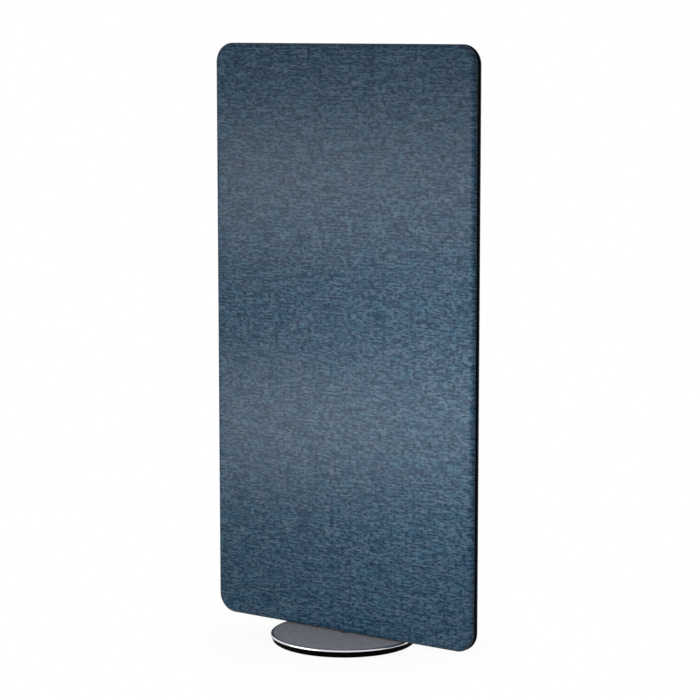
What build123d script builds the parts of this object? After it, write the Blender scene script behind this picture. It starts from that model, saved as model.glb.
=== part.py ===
from build123d import *
import os

os.makedirs("parts", exist_ok=True)

# A partition screen: a slim fabric-covered panel that turns on a spindle in a heavy round base.
# Lengths are in millimetres. The floor is z = 0, the spindle stands on the Z axis, the front faces -Y.

# The panel's outside
panel_width = 800.0
panel_height = 1500.0
panel_thickness = 34.0
corner_radius = 50.0
shoulder_radius = 12.0
panel_gap = 3.0

# Its skin, from the outside in
fabric_thickness = 1.2
pad_thickness = 2.8
band_width = 10.0
band_recess = 0.4

# The wooden frame, and the slabs that fill its bays
stile_width = 60.0
rail_height = 60.0
cross_rail_height = 40.0
cross_rail_share = 0.62
arris_radius = 2.0
dowel_diameter = 10.0
dowel_length = 60.0
dowel_chamfer = 1.0
dowel_pitch_share = 0.5
dowel_clearance = 0.1
dowel_end_space = 0.8
core_clearance = 0.4

# The welded steel socket in the panel's foot
tube_diameter = 25.0
tube_wall = 1.5
tube_length = 346.0
tube_clearance = 0.5
plate_thickness = 4.0
foot_plate_length = 200.0
head_plate_length = 120.0
plate_clearance = 0.3
bush_length = 30.0
bush_drop = 30.0
bush_fit = 0.02
bush_chamfer = 0.4

# The wood screws that hold the socket to the frame
wood_screw_diameter = 4.5
wood_screw_head = 9.0
wood_screw_length = 40.0
wood_screw_drive = 4.0
wood_screw_drive_depth = 1.6
foot_screw_inset = 15.0
foot_screw_pitch = 40.0
head_screw_inset = 12.0
head_screw_pitch = 20.0
screw_clearance = 0.05

# The spindle and the collar that carries the panel
spindle_diameter = 20.0
spindle_chamfer = 2.0
spindle_proud = 5.0
running_clearance = 0.05
flange_diameter = 64.0
flange_thickness = 5.0
flange_screw_circle = 44.0
flange_screw_diameter = 6.0
flange_screw_head = 11.0
flange_screw_length = 10.0
flange_screw_drive = 4.4
flange_screw_drive_depth = 2.0
collar_wall = 2.9
collar_bore_clearance = 0.1
collar_hole_clearance = 0.5
plate_bore_clearance = 0.5

# The base
base_diameter = 380.0
ballast_height = 14.5
ballast_setback = 0.5
ballast_lip = 2.0
ballast_taper = 6.0
ballast_edge_radius = 1.5
flange_recess_depth = 8.0
flange_recess_clearance = 3.0
base_cover_thickness = 4.5
base_cover_edge_radius = 0.6
trim_width = 4.3
trim_rounding = 3.8
trim_clearance = 0.2
cover_hole_clearance = 0.5
floor_ring_margin = 3.5
floor_ring_width = 16.0
floor_ring_height = 3.0
floor_ring_seat = 1.0
floor_ring_clearance = 0.2
cover_screw_circle_share = 0.6
cover_screw_diameter = 5.0
cover_screw_head = 8.5
cover_screw_head_height = 5.0
cover_screw_bite = 3.0
cover_screw_drive = 4.0
cover_screw_drive_depth = 2.5
counterbore_clearance = 0.5
tapped_hole_space = 0.5

# Counts
flange_screw_count = 4
cover_screw_count = 4

# Radii that several pieces share
spindle_radius = spindle_diameter / 2
tube_radius = tube_diameter / 2
tube_bore = tube_radius - tube_wall
collar_bore = spindle_radius + collar_bore_clearance
collar_radius = collar_bore + collar_wall
collar_hole = collar_radius + collar_hole_clearance
base_radius = base_diameter / 2
base_cover_radius = base_radius - trim_width - trim_clearance
ballast_radius = base_radius - ballast_setback
ballast_foot_radius = ballast_radius - ballast_taper
floor_ring_radius = ballast_foot_radius - floor_ring_margin
floor_ring_bore = floor_ring_radius - floor_ring_width

# Heights from the floor up
ballast_bottom = floor_ring_height - floor_ring_seat
ballast_top = ballast_bottom + ballast_height
flange_top = ballast_bottom + flange_recess_depth
flange_bottom = flange_top - flange_thickness
base_top = ballast_top + base_cover_thickness
panel_bottom = base_top + panel_gap
panel_middle = panel_bottom + panel_height / 2
skin_thickness = fabric_thickness + pad_thickness
frame_bottom = panel_bottom + skin_thickness
frame_top = panel_bottom + panel_height - skin_thickness
tube_bottom = frame_bottom + plate_thickness
tube_top = tube_bottom + tube_length
lower_rail_bottom = tube_top + plate_thickness
upper_bush_bottom = tube_top - bush_drop - bush_length
spindle_top = tube_top - bush_drop + spindle_proud

# Widths and depths from the middle of the panel out
frame_depth = panel_thickness - 2 * skin_thickness
frame_half_width = panel_width / 2 - skin_thickness
rail_end = frame_half_width - stile_width

# Rails by name: the middle's height and the rail's own height
rails = {
    "top_rail": (frame_top - rail_height / 2, rail_height),
    "upper_cross_rail": (panel_bottom + cross_rail_share * panel_height, cross_rail_height),
    "lower_cross_rail": (lower_rail_bottom + rail_height / 2, rail_height),
}
bottom_rail_middle = frame_bottom + rail_height / 2
dowel_heights = [
    middle + side * dowel_pitch_share * height / 2
    for middle, height in [*rails.values(), (bottom_rail_middle, rail_height)]
    for side in (-1, 1)
]
foot_screw_places = [
    (side * (foot_plate_length / 2 - inset), 0, frame_bottom)
    for side in (-1, 1)
    for inset in (foot_screw_inset, foot_screw_inset + foot_screw_pitch)
]
head_screw_places = [
    (side * (head_plate_length / 2 - inset), 0, tube_top)
    for side in (-1, 1)
    for inset in (head_screw_inset, head_screw_inset + head_screw_pitch)
]
standing = (Align.CENTER, Align.CENTER, Align.MIN)


def rounded_slab(inset, rounding):
    """The panel's outline drawn in by inset all round, with the edges of its two faces rounded."""
    with BuildPart() as slab:
        with BuildSketch(Plane.XZ):
            with Locations((0, panel_middle)):
                RectangleRounded(panel_width - 2 * inset, panel_height - 2 * inset, corner_radius - inset)
        extrude(amount=panel_thickness / 2 - inset, both=True)
        faces = slab.faces().group_by(Axis.Y)
        fillet(faces[0].edges() + faces[-1].edges(), rounding)
    return slab.part


def collar_passage():
    """Cuts the round hole in the panel's skin that the thrust collar stands in."""
    with Locations((0, 0, panel_bottom)):
        Cylinder(collar_hole, 2 * skin_thickness, mode=Mode.SUBTRACT)


def upward_holes(places, diameter, head_diameter, depth):
    """Cuts countersunk screw holes that open downwards at the given places."""
    with Locations(*[Location(place, (180, 0, 0)) for place in places]):
        CounterSinkHole(diameter / 2 + screw_clearance, head_diameter / 2 + screw_clearance, depth, 90)


def upward_pilots(places, diameter, depth):
    """Cuts plain holes for the shanks of screws that are driven upwards."""
    with Locations(*[Location(place, (180, 0, 0)) for place in places]):
        Hole(diameter / 2 + screw_clearance, depth)


def countersunk_screws(places, diameter, head_diameter, length, drive, drive_depth):
    """Adds screws that point up, with the flat ends of their heads at the given places."""
    with Locations(*places):
        Cone(head_diameter / 2, diameter / 2, (head_diameter - diameter) / 2, align=standing)
        Cylinder(diameter / 2, length, align=standing)
    with BuildSketch(Plane.XY.offset(places[0][2])) as sockets:
        with Locations(*[place[:2] for place in places]):
            RegularPolygon(drive / 2, 6)
    extrude(sockets.sketch, amount=drive_depth, mode=Mode.SUBTRACT)


panel_envelope = rounded_slab(0, shoulder_radius)
pad_envelope = rounded_slab(fabric_thickness, shoulder_radius - fabric_thickness)
band_envelope = rounded_slab(band_recess, shoulder_radius - band_recess)
frame_envelope = rounded_slab(skin_thickness, arris_radius)

# Front pad: felt on the frame's front, wrapped round its edges as far as the fabric's turn-in
with BuildPart() as front_pad:
    add(pad_envelope)
    split(bisect_by=Plane.XZ.offset(band_width / 2 + fabric_thickness), keep=Keep.TOP)
    add(frame_envelope, mode=Mode.SUBTRACT)
    collar_passage()
front_pad.part.label = "front_pad"
export_step(front_pad.part, "parts/front_pad.step")

# Back pad
with BuildPart() as back_pad:
    mirror(front_pad.part, about=Plane.XZ)
back_pad.part.label = "back_pad"
export_step(back_pad.part, "parts/back_pad.step")

# Front cover: one cloth over the face and the rounded shoulders, turned in beside the edge band
with BuildPart() as front_cover:
    add(panel_envelope)
    split(bisect_by=Plane.XZ.offset(band_width / 2), keep=Keep.TOP)
    add(front_pad.part, mode=Mode.SUBTRACT)
    add(frame_envelope, mode=Mode.SUBTRACT)
    collar_passage()
front_cover.part.label = "front_cover"
export_step(front_cover.part, "parts/front_cover.step")

# Back cover
with BuildPart() as back_cover:
    mirror(front_cover.part, about=Plane.XZ)
back_cover.part.label = "back_cover"
export_step(back_cover.part, "parts/back_cover.step")

# Edge band: a woven strip round the middle of the edge, a little lower than the fabric beside it
with BuildPart() as edge_band:
    add(band_envelope)
    with Locations((0, 0, panel_middle)):
        Box(panel_width, band_width, panel_height, mode=Mode.INTERSECT)
    add(frame_envelope, mode=Mode.SUBTRACT)
    collar_passage()
edge_band.part.label = "edge_band"
export_step(edge_band.part, "parts/edge_band.step")

# Left stile: full height, with the frame's round corners and the dowel holes in its inner edge
with BuildPart() as left_stile:
    add(frame_envelope)
    split(bisect_by=Plane.YZ.offset(-rail_end), keep=Keep.BOTTOM)
    with Locations(*[Plane((-rail_end, 0, z), z_dir=(1, 0, 0)) for z in dowel_heights]):
        Hole(dowel_diameter / 2 + dowel_clearance, dowel_length / 2 + dowel_end_space)
left_stile.part.label = "left_stile"
export_step(left_stile.part, "parts/left_stile.step")

# Right stile
with BuildPart() as right_stile:
    mirror(left_stile.part, about=Plane.YZ)
right_stile.part.label = "right_stile"
export_step(right_stile.part, "parts/right_stile.step")

# Rails from stile to stile, with dowel holes in both ends
for name, (middle, height) in rails.items():
    ends = [
        Plane((side * rail_end, 0, middle + row * dowel_pitch_share * height / 2), z_dir=(side, 0, 0))
        for side in (-1, 1)
        for row in (-1, 1)
    ]
    with BuildPart() as rail:
        add(frame_envelope)
        with Locations((0, 0, middle)):
            Box(2 * rail_end, frame_depth, height, mode=Mode.INTERSECT)
        with Locations(*ends):
            Hole(dowel_diameter / 2 + dowel_clearance, dowel_length / 2 + dowel_end_space)
        if name == "lower_cross_rail":
            upward_pilots(
                [(x, 0, lower_rail_bottom) for x, _, _ in head_screw_places],
                wood_screw_diameter,
                wood_screw_length - plate_thickness + dowel_end_space,
            )
    rail.part.label = name
    export_step(rail.part, f"parts/{name}.step")

# Bottom rails, one on each side of the socket tube, let in for the foot plate
for name, side in (("bottom_rail_left", -1), ("bottom_rail_right", 1)):
    inner_end = tube_radius + tube_clearance
    ends = [
        Plane((side * rail_end, 0, bottom_rail_middle + row * dowel_pitch_share * rail_height / 2), z_dir=(side, 0, 0))
        for row in (-1, 1)
    ]
    with BuildPart() as rail:
        add(frame_envelope)
        with Locations((side * (inner_end + rail_end) / 2, 0, bottom_rail_middle)):
            Box(rail_end - inner_end, frame_depth, rail_height, mode=Mode.INTERSECT)
        with Locations((0, 0, frame_bottom)):
            Box(foot_plate_length + 2 * plate_clearance, frame_depth, 2 * plate_thickness, mode=Mode.SUBTRACT)
        with Locations(*ends):
            Hole(dowel_diameter / 2 + dowel_clearance, dowel_length / 2 + dowel_end_space)
        upward_pilots(
            [(x, 0, tube_bottom) for x, _, _ in foot_screw_places if x * side > 0],
            wood_screw_diameter,
            wood_screw_length - plate_thickness + dowel_end_space,
        )
    rail.part.label = name
    export_step(rail.part, f"parts/{name}.step")

# Frame dowels: beech pins, half in the stile and half in the rail
with BuildPart() as frame_dowels:
    with Locations(*[(side * rail_end, 0, z) for side in (-1, 1) for z in dowel_heights]):
        Cylinder(dowel_diameter / 2, dowel_length, rotation=(0, 90, 0))
    chamfer(frame_dowels.edges().filter_by(GeomType.CIRCLE), dowel_chamfer)
frame_dowels.part.label = "frame_dowels"
export_step(frame_dowels.part, "parts/frame_dowels.step")

# Cores: sound-absorbing slabs cut to the frame's bays, as (left, right, bottom, top)
upper_rail_middle = rails["upper_cross_rail"][0]
tube_side = tube_radius + tube_clearance
bays = {
    "core_top": (-rail_end, rail_end, upper_rail_middle + cross_rail_height / 2, frame_top - rail_height),
    "core_middle": (
        -rail_end,
        rail_end,
        lower_rail_bottom + rail_height,
        upper_rail_middle - cross_rail_height / 2,
    ),
    "core_lower_left": (-rail_end, -tube_side, frame_bottom + rail_height, lower_rail_bottom),
    "core_lower_right": (tube_side, rail_end, frame_bottom + rail_height, lower_rail_bottom),
}
for name, (left, right, bottom, top) in bays.items():
    with BuildPart() as core:
        with Locations(((left + right) / 2, 0, (bottom + top) / 2)):
            Box(right - left - 2 * core_clearance, frame_depth, top - bottom - 2 * core_clearance)
        if name.startswith("core_lower"):
            with Locations((0, 0, lower_rail_bottom - plate_thickness / 2)):
                Box(
                    head_plate_length + 2 * core_clearance,
                    frame_depth,
                    plate_thickness + 2 * core_clearance,
                    mode=Mode.SUBTRACT,
                )
    core.part.label = name
    export_step(core.part, f"parts/{name}.step")

# Foot plate: under the bottom rails, bored for the spindle and countersunk for its screws
with BuildPart() as foot_plate:
    add(frame_envelope)
    with Locations((0, 0, frame_bottom + plate_thickness / 2)):
        Box(foot_plate_length, frame_depth, plate_thickness, mode=Mode.INTERSECT)
    with Locations((0, 0, frame_bottom + plate_thickness / 2)):
        Cylinder(spindle_radius + plate_bore_clearance, 2 * plate_thickness, mode=Mode.SUBTRACT)
    upward_holes(foot_screw_places, wood_screw_diameter, wood_screw_head, 2 * plate_thickness)
foot_plate.part.label = "foot_plate"
export_step(foot_plate.part, "parts/foot_plate.step")

# Socket tube: welded upright on the foot plate
with BuildPart() as socket_tube:
    with BuildSketch(Plane.XY.offset(tube_bottom)):
        Circle(tube_radius)
        Circle(tube_bore, mode=Mode.SUBTRACT)
    extrude(amount=tube_length)
socket_tube.part.label = "socket_tube"
export_step(socket_tube.part, "parts/socket_tube.step")

# Head plate: closes the tube's top and is screwed up into the lower cross rail
with BuildPart() as head_plate:
    with Locations((0, 0, tube_top)):
        Box(head_plate_length, frame_depth, plate_thickness, align=standing)
    upward_holes(head_screw_places, wood_screw_diameter, wood_screw_head, 2 * plate_thickness)
head_plate.part.label = "head_plate"
export_step(head_plate.part, "parts/head_plate.step")

# Wood screws through the two plates
for name, places in (("foot_screws", foot_screw_places), ("head_screws", head_screw_places)):
    with BuildPart() as screws:
        countersunk_screws(
            places,
            wood_screw_diameter,
            wood_screw_head,
            wood_screw_length,
            wood_screw_drive,
            wood_screw_drive_depth,
        )
    screws.part.label = name
    export_step(screws.part, f"parts/{name}.step")

# Bushes: plain bearings at the foot and near the head of the socket tube
for name, bottom in (("lower_bush", tube_bottom), ("upper_bush", upper_bush_bottom)):
    with BuildPart() as bush:
        with BuildSketch(Plane.XY.offset(bottom)):
            Circle(tube_bore - bush_fit)
            Circle(spindle_radius + running_clearance, mode=Mode.SUBTRACT)
        extrude(amount=bush_length)
        chamfer(bush.faces().sort_by(Axis.Z)[-1].edges().sort_by(SortBy.RADIUS)[-1], bush_chamfer)
    bush.part.label = name
    export_step(bush.part, f"parts/{name}.step")

# Thrust collar: stands on the base round the spindle, and the foot plate turns on it
with BuildPart() as thrust_collar:
    with BuildSketch(Plane.XY.offset(base_top)):
        Circle(collar_radius)
        Circle(collar_bore, mode=Mode.SUBTRACT)
    extrude(amount=frame_bottom - base_top)
thrust_collar.part.label = "thrust_collar"
export_step(thrust_collar.part, "parts/thrust_collar.step")

# Spindle: a steel axle with a round flange that is screwed up into the ballast
flange_screw_places = [
    (place.position.X, place.position.Y, flange_bottom)
    for place in PolarLocations(flange_screw_circle / 2, flange_screw_count)
]
with BuildPart() as spindle:
    with Locations((0, 0, flange_bottom)):
        Cylinder(flange_diameter / 2, flange_thickness, align=standing)
        Cylinder(spindle_radius, spindle_top - flange_bottom, align=standing)
    chamfer(spindle.faces().sort_by(Axis.Z)[-1].edges(), spindle_chamfer)
    upward_holes(flange_screw_places, flange_screw_diameter, flange_screw_head, 2 * flange_thickness)
spindle.part.label = "spindle"
export_step(spindle.part, "parts/spindle.step")

# Spindle screws: countersunk machine screws through the flange
with BuildPart() as spindle_screws:
    countersunk_screws(
        flange_screw_places,
        flange_screw_diameter,
        flange_screw_head,
        flange_screw_length,
        flange_screw_drive,
        flange_screw_drive_depth,
    )
spindle_screws.part.label = "spindle_screws"
export_step(spindle_screws.part, "parts/spindle_screws.step")

# Base ballast: a turned iron disc, drawn in towards the floor, recessed for the flange and the floor ring
ring_groove_inner = floor_ring_bore - floor_ring_clearance
ring_groove_outer = floor_ring_radius + floor_ring_clearance
recess_radius = flange_diameter / 2 + flange_recess_clearance
cover_screw_circle = cover_screw_circle_share * base_diameter
cover_screw_bottom = ballast_top + cover_screw_bite
counterbore_depth = cover_screw_head_height + counterbore_clearance
cover_screw_places = [
    (place.position.X, place.position.Y)
    for place in PolarLocations(cover_screw_circle / 2, cover_screw_count, 180 / cover_screw_count)
]
with BuildPart() as base_ballast:
    with BuildSketch(Plane.XZ):
        with BuildLine():
            Polyline(
                (spindle_radius + bush_fit, flange_top),
                (spindle_radius + bush_fit, ballast_top),
                (ballast_radius, ballast_top),
                (ballast_radius, ballast_top - ballast_lip),
                (ballast_foot_radius, ballast_bottom),
                (ring_groove_outer, ballast_bottom),
                (ring_groove_outer, floor_ring_height),
                (ring_groove_inner, floor_ring_height),
                (ring_groove_inner, ballast_bottom),
                (recess_radius, ballast_bottom),
                (recess_radius, flange_top),
                close=True,
            )
        make_face()
    revolve(axis=Axis.Z)
    rim = base_ballast.edges().filter_by(GeomType.CIRCLE).sort_by(SortBy.RADIUS)
    fillet(rim[-1], ballast_lip / 2)
    fillet(base_ballast.faces().sort_by(Axis.Z)[0].edges().sort_by(SortBy.RADIUS)[-1], ballast_edge_radius)
    with Locations(*[Location((x, y, flange_top), (180, 0, 0)) for x, y, _ in flange_screw_places]):
        Hole(flange_screw_diameter / 2 + screw_clearance, flange_screw_length - flange_thickness + tapped_hole_space)
    with Locations(*[Location((x, y, ballast_bottom), (180, 0, 0)) for x, y in cover_screw_places]):
        CounterBoreHole(
            cover_screw_diameter / 2 + screw_clearance,
            cover_screw_head / 2 + counterbore_clearance,
            counterbore_depth,
            2 * ballast_height,
        )
base_ballast.part.label = "base_ballast"
export_step(base_ballast.part, "parts/base_ballast.step")

# Cover screws: cap screws up through the ballast into the steel disc
cover_screw_head_bottom = ballast_bottom + counterbore_clearance
with BuildPart() as cover_screws:
    with Locations(*[(x, y, cover_screw_head_bottom) for x, y in cover_screw_places]):
        Cylinder(cover_screw_head / 2, cover_screw_head_height, align=standing)
        Cylinder(cover_screw_diameter / 2, cover_screw_bottom - cover_screw_head_bottom, align=standing)
    with BuildSketch(Plane.XY.offset(cover_screw_head_bottom)):
        with Locations(*cover_screw_places):
            RegularPolygon(cover_screw_drive / 2, 6)
    extrude(amount=cover_screw_drive_depth, mode=Mode.SUBTRACT)
cover_screws.part.label = "cover_screws"
export_step(cover_screws.part, "parts/cover_screws.step")

# Base cover: the satin steel disc on the ballast
with BuildPart() as base_cover:
    with BuildSketch(Plane.XY.offset(ballast_top)):
        Circle(base_cover_radius)
        Circle(spindle_radius + cover_hole_clearance, mode=Mode.SUBTRACT)
    extrude(amount=base_cover_thickness)
    fillet(base_cover.faces().sort_by(Axis.Z)[-1].edges().sort_by(SortBy.RADIUS)[-1], base_cover_edge_radius)
    with Locations(*[Location((x, y, ballast_top), (180, 0, 0)) for x, y in cover_screw_places]):
        Hole(cover_screw_diameter / 2 + screw_clearance, cover_screw_bite + tapped_hole_space)
base_cover.part.label = "base_cover"
export_step(base_cover.part, "parts/base_cover.step")

# Base trim ring: polished, with a quarter-round outer edge
with BuildPart() as base_trim_ring:
    with BuildSketch(Plane.XY.offset(ballast_top)):
        Circle(base_radius)
        Circle(base_radius - trim_width, mode=Mode.SUBTRACT)
    extrude(amount=base_cover_thickness)
    fillet(base_trim_ring.faces().sort_by(Axis.Z)[-1].edges().sort_by(SortBy.RADIUS)[-1], trim_rounding)
base_trim_ring.part.label = "base_trim_ring"
export_step(base_trim_ring.part, "parts/base_trim_ring.step")

# Floor ring: rubber, in a groove of the ballast
with BuildPart() as floor_ring:
    with BuildSketch(Plane.XY):
        Circle(floor_ring_radius)
        Circle(floor_ring_bore, mode=Mode.SUBTRACT)
    extrude(amount=floor_ring_height)
floor_ring.part.label = "floor_ring"
export_step(floor_ring.part, "parts/floor_ring.step")
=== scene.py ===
import math

import bpy
import numpy as np
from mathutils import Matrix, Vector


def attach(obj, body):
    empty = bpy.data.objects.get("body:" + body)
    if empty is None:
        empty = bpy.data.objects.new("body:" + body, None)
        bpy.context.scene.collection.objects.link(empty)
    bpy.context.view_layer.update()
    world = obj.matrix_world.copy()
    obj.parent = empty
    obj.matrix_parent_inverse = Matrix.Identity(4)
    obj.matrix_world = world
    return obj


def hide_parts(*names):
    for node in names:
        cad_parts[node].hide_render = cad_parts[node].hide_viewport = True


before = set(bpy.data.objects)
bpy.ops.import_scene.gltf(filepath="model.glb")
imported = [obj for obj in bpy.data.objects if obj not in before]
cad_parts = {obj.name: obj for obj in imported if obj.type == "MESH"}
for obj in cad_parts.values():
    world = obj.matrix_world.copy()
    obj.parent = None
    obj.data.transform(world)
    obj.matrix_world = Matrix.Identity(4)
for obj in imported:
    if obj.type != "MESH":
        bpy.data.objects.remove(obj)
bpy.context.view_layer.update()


# Floor ring
# A moulded ring of matt black rubber, pressed into the groove under the ballast. The whole screen
# stands on it.
def from_display(red, green, blue):
    """The shader's linear colour for display values from 0 to 255."""
    display = np.array([red, green, blue]) / 255
    linear = np.where(display <= 0.04045, display / 12.92, ((display + 0.055) / 1.055) ** 2.4)
    return (*linear.tolist(), 1.0)


def new_finish(name, **sockets):
    """A material with one Principled shader, whose sockets are given by name with _ for a space."""
    finish = bpy.data.materials.new(name)
    finish.use_nodes = True
    shader = finish.node_tree.nodes["Principled BSDF"]
    for socket, value in sockets.items():
        shader.inputs[socket.replace("_", " ")].default_value = value
    return finish


def add_node(finish, kind, inputs=(), **settings):
    """Adds a shader node, sets its options, then fills each input with a value or links it to a socket."""
    made = finish.node_tree.nodes.new("ShaderNode" + kind)
    for setting, value in settings.items():
        setattr(made, setting, value)
    for socket, value in dict(inputs).items():
        if isinstance(value, bpy.types.NodeSocket):
            finish.node_tree.links.new(value, made.inputs[socket])
        else:
            made.inputs[socket].default_value = value
    return made


def shader_input(finish, socket, value):
    """Links a socket to one of the Principled shader's inputs."""
    finish.node_tree.links.new(value, finish.node_tree.nodes["Principled BSDF"].inputs[socket])


def stretched_place(finish, size):
    """Object coordinates in units of size, given in metres along X, Y and Z."""
    place = add_node(finish, "TexCoord").outputs["Object"]
    scale = tuple(1 / length for length in size)
    return add_node(finish, "Mapping", {"Vector": place, "Scale": scale}).outputs["Vector"]


def spread(finish, value, low=0.0, high=1.0, first=0.0, last=1.0):
    """A number that goes from first to last while value goes from low to high, and no further."""
    ends = {"Value": value, "From Min": low, "From Max": high, "To Min": first, "To Max": last}
    return add_node(finish, "MapRange", ends, clamp=True).outputs["Result"]


def noise(finish, vector, low=0.35, high=0.65, detail=2.0):
    """Noise that is read at vector and spread so that low becomes 0 and high becomes 1."""
    inputs = {"Vector": vector, "Scale": 1.0, "Detail": detail}
    return spread(finish, add_node(finish, "TexNoise", inputs).outputs["Fac"], low, high)


def between(finish, share, first, second, kind="RGBA"):
    """The colour that lies share of the way from the first to the second.

    With the kind VECTOR it is a place instead, and with the kind FLOAT a number."""
    mix = add_node(finish, "Mix", {"Factor": share}, data_type=kind)
    socket_type = "VALUE" if kind == "FLOAT" else kind
    for socket, value in (("A", first), ("B", second)):
        end = [i for i in mix.inputs if i.name == socket and i.type == socket_type][0]
        if isinstance(value, bpy.types.NodeSocket):
            finish.node_tree.links.new(value, end)
        else:
            end.default_value = value
    return [o for o in mix.outputs if o.type == socket_type][0]


def raise_surface(finish, height, depth, strength=1.0):
    """Bumps the surface by a height from 0 to 1, which stands for depth in metres."""
    inputs = {"Height": height, "Distance": depth, "Strength": strength}
    shader_input(finish, "Normal", add_node(finish, "Bump", inputs).outputs["Normal"])


def vary_roughness(finish, share, first, second):
    """Lets the roughness go from the first value to the second with a share from 0 to 1."""
    shader_input(finish, "Roughness", spread(finish, share, first=first, last=second))


def grained_finish(name, size, first, second, depth, roughness, detail=4.0, **sockets):
    """A finish whose colour and roughness drift between two values over size, in metres along X, Y and Z.

    The surface is raised with them by depth."""
    finish = new_finish(name, **sockets)
    grain = noise(finish, stretched_place(finish, size), detail=detail)
    colour = between(finish, grain, from_display(*first), from_display(*second))
    shader_input(finish, "Base Color", colour)
    vary_roughness(finish, grain, *roughness)
    raise_surface(finish, grain, depth)
    return finish


def give_finish(finish, *names):
    """Puts a finish on CAD nodes that keep their own shape."""
    for name in names:
        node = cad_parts[name]
        if node.material_slots:
            node.material_slots[0].material = finish
        else:
            node.data.materials.append(finish)


rubber = grained_finish("black_rubber", (0.003,) * 3, (16, 16, 17), (30, 30, 31), 0.0002, (0.68, 0.84))
give_finish(rubber, "floor_ring")


# Base ballast
# A heavy turned disc of cast iron, drawn in towards the floor and painted black. Through its middle
# comes the spindle, and under it are the recesses for the flange and the screws.
iron = grained_finish(
    "black_paint_on_iron", (0.002,) * 3, (2, 2, 2), (5, 5, 5), 0.00005, (0.62, 0.78), Specular_IOR_Level=0.01
)
give_finish(iron, "base_ballast")


# Spindle
# A turned steel axle of 20 mm with a round flange at its foot, lightly oiled. The flange sits in the
# ballast's recess and the axle stands up into the panel.
turned_steel = grained_finish(
    "turned_steel", (0.2, 0.2, 0.0004), (150, 150, 148), (178, 178, 176), 0.00002, (0.24, 0.38), Metallic=1.0
)
give_finish(turned_steel, "spindle")


# Screws
# Zinc-plated steel screws: countersunk ones through the spindle's flange and the socket's plates,
# and cap screws up through the ballast into the steel disc.
zinc = grained_finish(
    "zinc_plate", (0.004,) * 3, (168, 170, 172), (196, 196, 190), 0.00001, (0.3, 0.42), Metallic=1.0
)
give_finish(zinc, "spindle_screws", "cover_screws", "foot_screws", "head_screws")


# Base cover
# A laser-cut steel disc with a satin grey powder coat, held on the ballast by the cap screws. Its
# upper edge is broken, and at its rim the coat's colour darkens to a hairline of painted shade beside the
# polished ring.
def round_corner(centre, radius, start, end, steps):
    """Points on an arc about centre, from one angle to another in degrees, as (distance, height)."""
    angle = np.radians(np.linspace(start, end, steps))
    return np.stack([centre[0] + radius * np.cos(angle), centre[1] + radius * np.sin(angle)], axis=1)


def grid_faces(rows, columns, around=False, along=False):
    """Corner numbers of the quads of a grid, joined end to start where around or along says so."""
    row = np.arange(rows if along else rows - 1)[:, None]
    column = np.arange(columns if around else columns - 1)[None, :]
    next_row, next_column = (row + 1) % rows, (column + 1) % columns
    corners = [row * columns + column, row * columns + next_column]
    corners += [next_row * columns + next_column, next_row * columns + column]
    spanned = [np.broadcast_to(corner, (row.size, column.size)) for corner in corners]
    return np.stack(spanned, axis=-1).reshape(-1, 4)


def in_scene(name, data):
    """A new object in the scene for a mesh, a light or a camera."""
    made = bpy.data.objects.new(name, data)
    bpy.context.scene.collection.objects.link(made)
    return made


def new_piece(name, points, faces, finish, body, replaced, uv=None):
    """A smooth mesh made from numpy arrays, tied to its body and the CAD node that it replaces."""
    mesh = bpy.data.meshes.new(name)
    mesh.from_pydata(points.reshape(-1, 3).tolist(), [], [list(face) for face in faces])
    mesh.polygons.foreach_set("use_smooth", np.ones(len(mesh.polygons), bool))
    if uv is not None:
        layer = mesh.uv_layers.new(name="cloth")
        corner = np.zeros(len(mesh.loops), np.int32)
        mesh.loops.foreach_get("vertex_index", corner)
        layer.data.foreach_set("uv", uv.reshape(-1, 2)[corner].astype(np.float32).ravel())
    mesh.materials.append(finish)
    piece = in_scene(name, mesh)
    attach(piece, body)
    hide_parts(replaced)
    return piece


def turned(name, profile, finish, replaced):
    """A closed profile of (distance, height) turned about the spindle.

    The point at distance r and height z, turned through the angle a, lies at (r cos a, r sin a, z)."""
    steps = 512
    angle = np.linspace(0, 2 * math.pi, steps, endpoint=False)
    distance, height = profile[:, :1], profile[:, 1:]
    height = np.broadcast_to(height, (len(profile), steps))
    points = np.stack([distance * np.cos(angle), distance * np.sin(angle), height], axis=-1)
    faces = grid_faces(len(profile), steps, around=True, along=True)
    return new_piece(name, points, faces, finish, "base", replaced)


def from_origin(finish):
    """How far a point lies from the object's origin, in metres."""
    place = add_node(finish, "TexCoord").outputs["Object"]
    return add_node(finish, "VectorMath", {0: place}, operation="LENGTH").outputs["Value"]


base_cover_radius = 0.1855
base_cover_hole = 0.0105
ballast_top = 0.0165
base_top = 0.021
broken_edge = 0.0006
inner_edge = 0.0003
disc_profile = np.concatenate(
    [
        [[base_cover_hole, ballast_top + inner_edge], [base_cover_hole + inner_edge, ballast_top]],
        [[base_cover_radius - broken_edge, ballast_top]],
        round_corner((base_cover_radius - inner_edge, ballast_top + inner_edge), inner_edge, -90, 0, 4),
        round_corner((base_cover_radius - broken_edge, base_top - broken_edge), broken_edge, 0, 90, 7),
        [[base_cover_radius - 2 * broken_edge, base_top], [base_cover_hole + 2 * inner_edge, base_top]],
        round_corner((base_cover_hole + inner_edge, base_top - inner_edge), inner_edge, 90, 180, 4),
    ]
)
powder_coat = new_finish("satin_grey_powder_coat", Specular_IOR_Level=0.4)
orange_peel = noise(powder_coat, stretched_place(powder_coat, (0.0016,) * 3), detail=3.0)
clouds = noise(powder_coat, stretched_place(powder_coat, (0.012,) * 3), detail=3.0)
mottled = between(powder_coat, clouds, from_display(111, 110, 117), from_display(127, 127, 133))
# Painted shade: the coat is coloured dark in a hairline at its rim, next to the polished ring.
painted_shade_start, painted_shade_full = 0.1836, 0.1842
painted_shade_line = spread(powder_coat, from_origin(powder_coat), painted_shade_start, painted_shade_full)
shader_input(powder_coat, "Base Color", between(powder_coat, painted_shade_line, mottled, from_display(36, 36, 40)))
vary_roughness(powder_coat, orange_peel, 0.46, 0.54)
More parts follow.
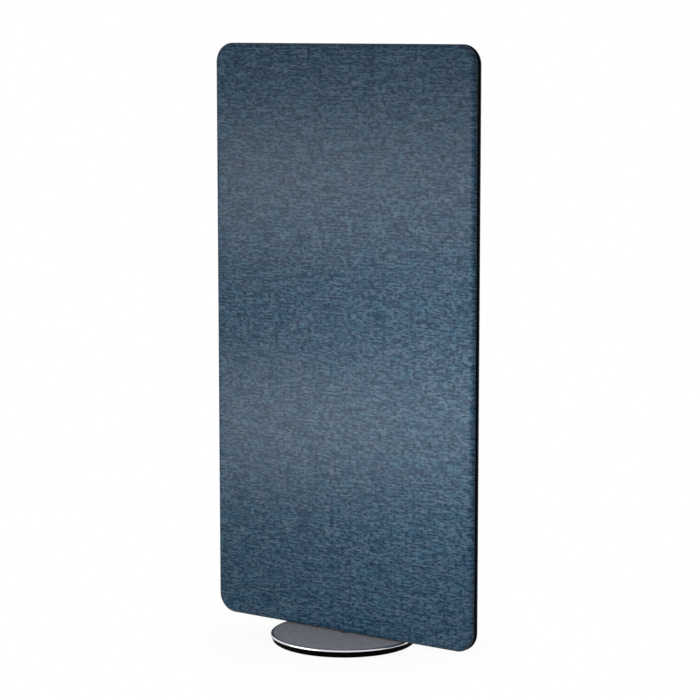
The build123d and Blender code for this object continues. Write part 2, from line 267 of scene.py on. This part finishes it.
raise_surface(powder_coat, orange_peel, 0.00006)
turned("base_disc", disc_profile, powder_coat, "base_cover")


# Base trim ring
# A drawn ring, polished and chromium plated, with a quarter-round outer edge. It is pressed over the
# ballast's top edge round the grey disc.
ring_outer = 0.19
ring_inner = 0.1857
ring_rounding = 0.0038
ring_profile = np.concatenate(
    [
        round_corner((ring_inner + inner_edge, ballast_top + inner_edge), inner_edge, 180, 270, 4),
        round_corner((ring_outer - inner_edge, ballast_top + inner_edge), inner_edge, -90, 0, 4),
        round_corner((ring_outer - ring_rounding, base_top - ring_rounding), ring_rounding, 0, 90, 17),
        round_corner((ring_inner + inner_edge, base_top - inner_edge), inner_edge, 90, 180, 4),
    ]
)
chrome = new_finish("polished_chrome", Metallic=1.0, Base_Color=from_display(222, 222, 225))
fine_lines = noise(chrome, stretched_place(chrome, (0.05, 0.05, 0.0003)))
vary_roughness(chrome, fine_lines, 0.14, 0.24)
turned("trim_ring", ring_profile, chrome, "base_trim_ring")


# Thrust collar
# A turned ring of black acetal that stands on the disc round the spindle. The panel's foot plate
# slides on it, and it holds the panel clear of the base.
black_acetal = grained_finish("black_acetal", (0.004,) * 3, (20, 20, 21), (28, 28, 29), 0.00002, (0.34, 0.46))
give_finish(black_acetal, "thrust_collar")


# Bushes
# Two plain bearings of natural acetal, pressed into the socket tube. They keep the panel upright on
# the spindle.
acetal = grained_finish("natural_acetal", (0.006,) * 3, (226, 224, 216), (236, 235, 229), 0.00002, (0.3, 0.4))
give_finish(acetal, "lower_bush", "upper_bush")


# Socket
# A steel tube welded between a long foot plate and a short head plate, powder coated black. It takes
# the spindle and is screwed to the frame from below.
socket_coat = grained_finish(
    "black_powder_coat", (0.0015,) * 3, (24, 24, 25), (34, 34, 35), 0.00008, (0.48, 0.6)
)
give_finish(socket_coat, "foot_plate", "socket_tube", "head_plate")


# Frame
# Two stiles and five rails of planed softwood, glued on dowels of beech. The year rings show as
# darker lines along each member.
def calculate(finish, operation, first, second=0.0):
    """A number worked out from one or two numbers by one of the Math node's operations."""
    return add_node(finish, "Math", {0: first, 1: second}, operation=operation).outputs[0]


def waves(finish, value, turn):
    """A number that swings between 0 and 1: the sine of value times turn, in radians."""
    return spread(finish, calculate(finish, "SINE", calculate(finish, "MULTIPLY", value, turn)), low=-1.0)


def planed_wood(name, along, pale, dark):
    """Wood whose grain runs along X or Z: rings bent by slow noise, with fine pores drawn out lengthwise."""
    finish = new_finish(name)
    ring_size, pore_size = (0.6, 0.012, 0.02), (0.02, 0.0006, 0.0006)
    if along == "Z":
        ring_size, pore_size = ring_size[::-1], pore_size[::-1]
    bent = noise(finish, stretched_place(finish, ring_size), 0.0, 1.0)
    rings = waves(finish, bent, 60.0)
    pores = noise(finish, stretched_place(finish, pore_size), 0.3, 0.6)
    darkened = between(finish, pores, from_display(*dark), from_display(*pale))
    shader_input(finish, "Base Color", between(finish, rings, darkened, from_display(*pale)))
    vary_roughness(finish, pores, 0.74, 0.56)
    raise_surface(finish, pores, 0.00008)
    return finish


upright_wood = planed_wood("softwood_upright", "Z", (222, 190, 146), (178, 134, 88))
cross_wood = planed_wood("softwood_across", "X", (222, 190, 146), (178, 134, 88))
beech = planed_wood("beech_dowel", "X", (204, 160, 116), (168, 120, 80))
give_finish(upright_wood, "left_stile", "right_stile")
give_finish(cross_wood, "top_rail", "upper_cross_rail", "lower_cross_rail")
give_finish(cross_wood, "bottom_rail_left", "bottom_rail_right")
give_finish(beech, "frame_dowels")


# Cores
# Four slabs of pressed textile fibre that fill the frame's bays and soak up sound. Grey, with darker
# and lighter fibres all through.
fibre_size = (0.006, 0.006, 0.0012)
fibre = grained_finish(
    "pressed_fibre", fibre_size, (104, 106, 108), (158, 158, 156), 0.0006, (0.88, 1.0), 3.0, Sheen_Weight=0.2
)
give_finish(fibre, "core_top", "core_middle", "core_lower_left", "core_lower_right")


# Pads
# Needled grey felt, a little under 3 mm thick, glued on both faces of the frame and wrapped round its
# edges. It rounds the panel's shoulders under the cloth.
panel_half_width = 0.4
panel_half_height = 0.75
panel_middle = 0.774
panel_half_depth = 0.017
corner_radius = 0.05
shoulder_radius = 0.012
band_half_width = 0.005
cloth_thickness = 0.0012
felt_thickness = 0.0027
felt_hole = 0.0155
tucked_in = 0.004
flat_rings = 9
tucked_rings = 3


def edge_rings(inset, fold):
    """A sheet's section at the panel's edge: its reach from the core rectangle and its depth from the middle.

    It runs flat to the shoulder, round a quarter ellipse, then turns in on an arc of radius fold and runs
    inwards until it lies tucked_in inside the outline. The core rectangle ends one corner radius short of
    the outline."""
    reach_out = corner_radius - inset
    face = panel_half_depth - inset
    shoulder = shoulder_radius - inset
    turn_in = band_half_width + inset
    drop = face - turn_in - fold
    run = np.linspace(0, reach_out - shoulder, flat_rings)
    back = np.linspace(reach_out - fold, corner_radius - tucked_in, tucked_rings + 1)[1:]
    sweep = np.radians(np.linspace(0, 90, 15))[1:]
    flat = np.stack([run, np.full(flat_rings, face)], axis=1)
    over = [reach_out - shoulder * (1 - np.sin(sweep)), turn_in + fold + drop * np.cos(sweep)]
    under = [reach_out - fold * (1 - np.cos(sweep)), turn_in + fold * (1 - np.sin(sweep))]
    last = np.stack([back, np.full(tucked_rings, turn_in)], axis=1)
    return np.concatenate([flat, np.stack(over, axis=1), np.stack(under, axis=1)[::3], last])


def core_steps(half, fine):
    """Places along a side of the core rectangle, 12.5 mm apart, and closer near the foot's hole if fine."""
    places = np.linspace(-half, half, int(round(2 * half / 0.0125)) + 1)
    near = np.array([0.002, 0.004, 0.006, 0.008, 0.0095, 0.011, 0.012, 0.0135, 0.015, 0.018])
    return np.unique(np.round(np.concatenate([places, near, -near]), 6)) if fine else places


def clear_of_hole(points, hole):
    """Moves points in the panel's foot that are nearer to the spindle's axis than hole out to that distance.

    Returns the points and which of them were moved."""
    from_axis = np.hypot(points[..., 0], points[..., 1])
    in_foot = points[..., 2] < panel_middle - panel_half_height + 2 * shoulder_radius
    inside = (from_axis < hole) & in_foot
    push = np.where(inside, hole / np.maximum(from_axis, 1e-6), 1.0)
    return points * np.stack([push, push, np.ones_like(push)], axis=-1), inside


def panel_sheet(rings, side, ease, hole):
    """Points and cloth coordinates of a sheet over one face of the panel.

    Two parameters run across and up the panel. Each gives a place in the core rectangle, or beyond it a
    count of rings. The larger of the two counts picks the ring, which has a reach from the core and a depth,
    and the smaller, as a share of it, turns the reach from straight out to the corner's diagonal. So the
    sheet turns each corner on circles. ease is how far the cloth swells in the panel's middle, in metres,
    and slow crossed waves of up to 0.3 of it lie on top. Where the sheet passes under the panel it is cut
    round the foot's hole: points inside it move out to its edge, at the height the section has there."""
    count = len(rings) - 1
    travelled = np.concatenate([[0], np.cumsum(np.hypot(*np.diff(rings, axis=0).T))])
    axes = []
    for half, fine in ((panel_half_width - corner_radius, True), (panel_half_height - corner_radius, False)):
        core = core_steps(half, fine)
        steps = np.arange(1, count + 1)
        place = np.concatenate([np.full(count, -half), core, np.full(count, half)])
        ring = np.concatenate([-steps[::-1], np.zeros(len(core), int), steps])
        axes.append((place, ring))
    (x, ring_x), (z, ring_z) = axes
    ring_x, ring_z = np.meshgrid(ring_x, ring_z)
    x, z = np.meshgrid(x, z)
    size_x, size_z = np.abs(ring_x), np.abs(ring_z)
    ring = np.maximum(size_x, size_z)
    share = np.minimum(size_x, size_z) / np.maximum(ring, 1)
    angle = np.where(size_x >= size_z, share, 2 - share) * math.pi / 4
    out_x = np.sign(ring_x) * np.cos(angle) * (ring > 0)
    out_z = np.sign(ring_z) * np.sin(angle) * (ring > 0)
    reach, depth = rings[ring, 0], rings[ring, 1]
    cloth = np.stack([x + out_x * travelled[ring], z + out_z * travelled[ring]], axis=-1)
    swell = np.cos(x / panel_half_width * 1.4) * np.cos(z / panel_half_height * 1.4)
    ripple = np.sin(41 * x + 3 * np.sin(7 * z)) * np.sin(29 * z + 2 * np.sin(11 * x))
    depth = depth + ease * (swell + 0.3 * ripple) * (ring < flat_rings - 3)
    points = np.stack([x + out_x * reach, side * depth, panel_middle + z + out_z * reach], axis=-1)
    points, inside = clear_of_hole(points, hole)
    bend = rings[-1 - tucked_rings :: -1]
    bend_reach = np.interp(np.abs(points[..., 1]), bend[:, 1], bend[:, 0])
    core_foot = panel_middle - panel_half_height + corner_radius
    points[..., 2] = np.where(inside, core_foot - bend_reach, points[..., 2])
    faces = grid_faces(*ring.shape)
    faces = faces[~inside.ravel()[faces].all(axis=1)]
    used, faces = np.unique(faces, return_inverse=True)
    return points.reshape(-1, 3)[used], cloth.reshape(-1, 2)[used], faces.reshape(-1, 4)


def stretched_piece(name, rings, side, ease, hole, thickness, finish, replaced):
    """A panel_sheet over the front (side -1) or the back (side 1), given its thickness inwards."""
    points, cloth, faces = panel_sheet(rings, side, ease, hole)
    if side > 0:
        faces = faces[:, ::-1]
    piece = new_piece(name, points, faces, finish, "screen", replaced, uv=cloth)
    solidify = piece.modifiers.new("thickness", "SOLIDIFY")
    solidify.thickness = thickness
    solidify.offset = -1
    return piece


felt = grained_finish(
    "needled_felt", (0.002,) * 3, (118, 116, 114), (168, 166, 162), 0.0004, (0.9, 1.0), 5.0, Sheen_Weight=0.3
)
felt_rings = edge_rings(cloth_thickness, felt_thickness)
for name, side, replaced in (("front_felt", -1, "front_pad"), ("back_felt", 1, "back_pad")):
    felt_piece = stretched_piece(
        name, felt_rings, side, 0.0, felt_hole, felt_thickness, felt, replaced
    )


# Edge band
# A black woven strip of 10 mm with close cross ribs, laid round the middle of the panel's edge
# between the two turned-in cloths. It starts and ends at the round hole in the foot.
foot_hole = 0.0135
band_start = 0.011
band_recess = 0.0004
band_thickness = 0.0035
band_edge = 0.0005
band_crown = 0.0002
rib_pitch = 0.0014


def carried_round_panel(profile, start):
    """A closed profile of (reach, depth) carried round the panel's outline, from start right of the
    foot's middle to the same distance left of it.

    The path is the core rectangle's edge: on its sides the profile's reach points straight out, and at its
    corners it turns through a quarter circle."""
    half = np.array([panel_half_width, panel_half_height]) - corner_radius
    begin = np.array([start, -half[1]])
    stretches = []
    for turn, corner in enumerate(half * [[1, -1], [1, 1], [-1, 1], [-1, -1]]):
        facing = 90 * turn - 90
        stretches += [(begin, corner, facing, facing), (corner, corner, facing, facing + 90)]
        begin = corner
    stretches.append((begin, np.array([-start, -half[1]]), 270, 270))
    longest_step, corner_steps = 0.012, 33
    places, angles = [], []
    for begin, end, turn_from, turn_to in stretches:
        straight_steps = max(2, int(math.dist(begin, end) / longest_step))
        share = np.linspace(0, 1, straight_steps if turn_from == turn_to else corner_steps)[:, None]
        places.append(begin * (1 - share) + end * share)
        angles.append(np.radians(turn_from + (turn_to - turn_from) * share[:, 0]))
    place, angle = np.concatenate(places), np.concatenate(angles)
    keep = np.ones(len(angle), bool)
    keep[1:] = (np.abs(np.diff(place, axis=0)).sum(axis=1) + np.abs(np.diff(angle))) > 1e-9
    place, angle = place[keep], angle[keep]
    out = np.stack([np.cos(angle), np.sin(angle)], axis=1)
    flat = place[:, None, :] + out[:, None, :] * profile[None, :, :1]
    depth = np.broadcast_to(profile[None, :, 1], flat.shape[:2])
    points = np.stack([flat[..., 0], depth, panel_middle + flat[..., 1]], axis=-1)
    steps = np.concatenate([[0], np.cumsum(np.hypot(*np.diff(points[:, 0, ::2], axis=0).T))])
    cloth = np.stack([np.broadcast_to(steps[:, None], depth.shape), depth], axis=-1)
    return points, cloth


band_out = corner_radius - band_recess
across = np.linspace(-1, 1, 13)[1:-1]
crown = [band_out + band_crown * (1 - across**2), -across * (band_half_width - band_edge)]
band_profile = np.concatenate(
    [
        round_corner((band_out - band_edge, band_half_width - band_edge), band_edge, 90, 0, 5),
        np.stack(crown, axis=1),
        round_corner((band_out - band_edge, -band_half_width + band_edge), band_edge, 0, -90, 5),
        [[band_out - band_thickness, -band_half_width], [band_out - band_thickness, band_half_width]],
    ]
)
band_cloth = new_finish("black_ribbed_band", Specular_IOR_Level=0.02)
band_place = add_node(band_cloth, "UVMap", uv_map="cloth").outputs["UV"]
along_band = add_node(band_cloth, "SeparateXYZ", {"Vector": band_place}).outputs["X"]
ribs = waves(band_cloth, along_band, 2 * math.pi / rib_pitch)
band_colour = between(band_cloth, ribs, from_display(1, 1, 1), from_display(8, 8, 9))
shader_input(band_cloth, "Base Color", band_colour)
vary_roughness(band_cloth, ribs, 1.0, 0.88)
raise_surface(band_cloth, ribs, 0.0003)
band_points, band_uv = carried_round_panel(band_profile, band_start)
band_points = clear_of_hole(band_points, foot_hole)[0]
rows, columns = band_points.shape[:2]
band_faces = [list(face)[::-1] for face in grid_faces(rows, columns, around=True)]
band_faces += [list(range(columns)), list(range((rows - 1) * columns, rows * columns))[::-1]]
new_piece("edge_strip", band_points, band_faces, band_cloth, "screen", "edge_band", uv=band_uv)


# Covers
# One piece of blue melange cloth over each face, stretched over the felt, glued, and turned in beside
# the edge band. The yarns are slubby: darker and lighter flecks run across and, fainter, up the cloth.
cover_fold = 0.0013
cover_swell = 0.0002
thread = 0.0015
middle_tone = 0.52
slubs = ((0.0175, 0.0047, 0.60), (0.07, 0.0047, 0.42), (0.0047, 0.0185, 0.26), (0.05, 0.02, 0.26))
yarn_length, yarn_width, yarn_share = 0.0084, 0.001, 0.52
fleck_length, fleck_width, fleck_share = 0.0116, 0.0045, 0.88
spot_width, spot_height = 0.047, 0.03
teal, mauve = (0.83, 1.02, 1.02, 1.0), (1.18, 0.98, 0.99, 1.0)
tones = ((0.03, (0, 34, 55)), (0.25, (13, 48, 71)), (0.5, (46, 72, 92)))
tones += ((0.7, (62, 87, 105)), (0.97, (75, 98, 114)))


def melange_cloth(name, shift):
    """Cloth woven from warp and weft yarns that change tone along their length.

    A chequer of threads says which yarn lies on top, and a place in a yarn is snapped across it. The tone
    is a sum of noises drawn out across or up the cloth, from slubs down to single yarns, and a ramp turns it
    into colour. Spots tint it towards teal or mauve, and short dark flecks lie over all. Rounded threads
    give the height, and the tone bends the satin layer over them. shift moves the pattern, in metres."""
    finish = new_finish(name, Specular_IOR_Level=0.0, Coat_Weight=0.3, Coat_Roughness=0.25)
    uv = add_node(finish, "UVMap", uv_map="cloth").outputs["UV"]
    snapped = add_node(finish, "VectorMath", {0: uv, 1: (thread,) * 3}, operation="SNAP").outputs[0]
    place_in_yarn = []
    for first, second in ((snapped, uv), (uv, snapped)):
        parts = [add_node(finish, "SeparateXYZ", {"Vector": place}).outputs for place in (first, second)]
        joined = {"X": parts[0]["X"], "Y": parts[1]["Y"]}
        place_in_yarn.append(add_node(finish, "CombineXYZ", joined).outputs["Vector"])
    in_threads = {"Vector": uv, "Scale": (1 / thread, 1 / thread, 1.0)}
    scaled = add_node(finish, "Mapping", in_threads).outputs["Vector"]
    over = add_node(finish, "TexChecker", {"Vector": scaled, "Scale": 1.0}).outputs["Fac"]
    yarn_place = between(finish, over, *place_in_yarn, kind="VECTOR")

    def drawn_out(wide, high, place=yarn_place):
        """Cloth coordinates in units of wide across and high up, in metres."""
        scale, location = (1 / wide, 1 / high, 1.0), (shift / wide, shift / high, 0.0)
        mapping = {"Vector": place, "Location": location, "Scale": scale}
        return add_node(finish, "Mapping", mapping).outputs["Vector"]

    def yarns(wide, high, share):
        """Tone of yarns that change along their length, as a share that swings about zero."""
        swing = noise(finish, drawn_out(wide, high), 0.2, 0.8, detail=0.3)
        return calculate(finish, "MULTIPLY", calculate(finish, "SUBTRACT", swing, 0.5), share)

    tone = middle_tone
    for wide, high, share in slubs:
        tone = calculate(finish, "ADD", yarns(wide, high, share), tone)
    across = calculate(finish, "MULTIPLY", yarns(yarn_length, yarn_width, yarn_share), over)
    not_over = calculate(finish, "SUBTRACT", 1.0, over)
    upwards = calculate(finish, "MULTIPLY", yarns(yarn_width, yarn_length, yarn_share), not_over)
    tone = calculate(finish, "ADD", tone, calculate(finish, "ADD", across, upwards))
    ramp = add_node(finish, "ValToRGB", {"Fac": tone})
    for step, (position, colour) in enumerate(tones):
        stop = ramp.color_ramp.elements[step] if step < 2 else ramp.color_ramp.elements.new(position)
        stop.position, stop.color = position, from_display(*colour)
    spots = noise(finish, drawn_out(spot_width, spot_height), 0.3, 0.7, detail=0.5)
    tints = {0: ramp.outputs["Color"], 1: between(finish, spots, teal, mauve)}
    tinted = add_node(finish, "VectorMath", tints, operation="MULTIPLY").outputs[0]
    flecks = noise(finish, drawn_out(fleck_length, fleck_width), 0.54, 0.64, detail=0.3)
    flecks = calculate(finish, "MULTIPLY", flecks, fleck_share)
    shader_input(finish, "Base Color", between(finish, flecks, tinted, from_display(2, 30, 48)))

    threads = add_node(finish, "SeparateXYZ", {"Vector": drawn_out(thread, thread, uv)}).outputs
    turns = [calculate(finish, "MULTIPLY", threads[axis], math.pi) for axis in ("X", "Y")]
    rounds = [calculate(finish, "ABSOLUTE", calculate(finish, "SINE", turn)) for turn in turns]
    height = between(finish, over, *rounds, kind="FLOAT")
    vary_roughness(finish, height, 0.96, 0.84)
    raise_surface(finish, height, 0.00035, strength=0.8)
    satin = add_node(finish, "Bump", {"Height": tone, "Distance": 0.0006, "Strength": 0.25})
    shader_input(finish, "Coat Normal", satin.outputs["Normal"])
    return finish


cover_rings = edge_rings(0.0, cover_fold)
for name, side, replaced, shift, pad in (
    ("front_cloth", -1, "front_cover", 0.0, "front_felt"),
    ("back_cloth", 1, "back_cover", 3.0, "back_felt"),
):
    cloth_finish = melange_cloth(name + "_melange", shift)
    cloth_piece = stretched_piece(
        name, cover_rings, side, cover_swell, foot_hole, cloth_thickness, cloth_finish,
        replaced,
    )


# Floor and background
# A pale floor that fades to white away from the screen, and a white surround. The camera, glossy and
# transmission rays see plain white, and the floor keeps the soft shadow.
floor_radius = 60.0
shade_inner, shade_outer, shade_tone = 0.15, 0.5, 0.9
room_light = 0.36
white = (1.0, 1.0, 1.0, 1.0)


def seen_rays(tree):
    """1 for camera, glossy and transmission rays, and 0 for the rays that carry light between surfaces."""
    rays = add_node(tree, "LightPath").outputs
    seen = calculate(tree, "MAXIMUM", rays["Is Camera Ray"], rays["Is Glossy Ray"])
    return calculate(tree, "MAXIMUM", seen, rays["Is Transmission Ray"])


floor_mesh = bpy.data.meshes.new("floor")
corner = [(-floor_radius, -floor_radius, 0), (floor_radius, -floor_radius, 0)]
corner += [(floor_radius, floor_radius, 0), (-floor_radius, floor_radius, 0)]
floor_mesh.from_pydata(corner, [], [(0, 1, 2, 3)])
floor = in_scene("floor", floor_mesh)
paper = bpy.data.materials.new("pale_floor")
paper.use_nodes = True
paper.node_tree.nodes.clear()
whiteness = spread(paper, from_origin(paper), shade_inner, shade_outer, shade_tone, 1.0)
glow_share = calculate(paper, "MULTIPLY", seen_rays(paper), whiteness)
diffuse_ray = add_node(paper, "LightPath").outputs["Is Diffuse Ray"]
bounced = between(paper, diffuse_ray, (0.8, 0.8, 0.8, 1.0), (0.2, 0.2, 0.2, 1.0))
matt = add_node(paper, "BsdfDiffuse", {"Color": bounced}).outputs["BSDF"]
glow = add_node(paper, "Emission", {"Color": white, "Strength": 1.0}).outputs["Emission"]
blend = add_node(paper, "MixShader", {0: glow_share, 1: matt, 2: glow}).outputs["Shader"]
add_node(paper, "OutputMaterial", {"Surface": blend})
floor_mesh.materials.append(paper)

world = bpy.data.worlds.new("white_room")
world.use_nodes = True
world.node_tree.nodes.clear()
lit = add_node(world, "Background", {"Color": white, "Strength": room_light}).outputs["Background"]
plain = add_node(world, "Background", {"Color": white, "Strength": 1.0}).outputs["Background"]
blend = add_node(world, "MixShader", {0: seen_rays(world), 1: lit, 2: plain}).outputs["Shader"]
add_node(world, "OutputWorld", {"Surface": blend})
bpy.context.scene.world = world


# Lights
# Two wide soft boxes stand in front and to the left, where the cloth mirrors the camera, and lay the
# two bright bands over it. Two small ones close in front lift the panel's right side, and a large one
# behind and above lights the back and the floor.
def soft_box(name, place, target, size, power, mirrored=True):
    """An area light at place that faces target, with its width and height in metres and its power in watts.

    If it isn't mirrored, it lights the surfaces but makes no highlight on them."""
    light = bpy.data.lights.new(name, "AREA")
    light.shape = "RECTANGLE"
    light.size, light.size_y = size
    light.energy = power
    lamp = in_scene(name, light)
    lamp.visible_camera = False
    lamp.visible_glossy = mirrored
    away = Vector(place) - Vector(target)
    lamp.location = place
    lamp.rotation_euler = away.to_track_quat("Z", "Y").to_euler()


soft_box("lower_box", (-0.8, -1.63, 0.279), (0.26, 0.0, 0.587), (1.6, 0.36), 12.4)
soft_box("upper_box", (-0.83, -1.652, 1.04), (0.26, 0.0, 1.17), (1.6, 0.42), 11.4)
soft_box("low_front_box", (0.42, -0.8, 0.52), (0.36, 0.0, 0.52), (0.4, 0.4), 3.6, mirrored=False)
soft_box("front_box", (0.42, -0.8, 0.8), (0.34, 0.0, 0.8), (0.4, 0.4), 3.8, mirrored=False)
soft_box("back_box", (-0.8, 2.8, 3.2), (0.0, 0.0, 0.8), (2.0, 2.0), 100.0, mirrored=False)


# Camera
# It stands in front and to the right of the panel, a little above its top, and looks slightly down,
# as the photograph was taken.
azimuth = math.radians(35.777)
distance = 6.0874
eye_height = 1.5807
looks_down = 7.7444
heading = 35.641
camera_data = bpy.data.cameras.new("camera")
camera_data.sensor_width = 36.0
camera_data.lens = 124.64
camera = in_scene("camera", camera_data)
camera.location = (distance * math.sin(azimuth), -distance * math.cos(azimuth), eye_height)
camera.rotation_euler = (math.radians(90 - looks_down), 0.0, math.radians(heading))
bpy.context.scene.camera = camera
bpy.context.scene.view_settings.view_transform = "Standard"
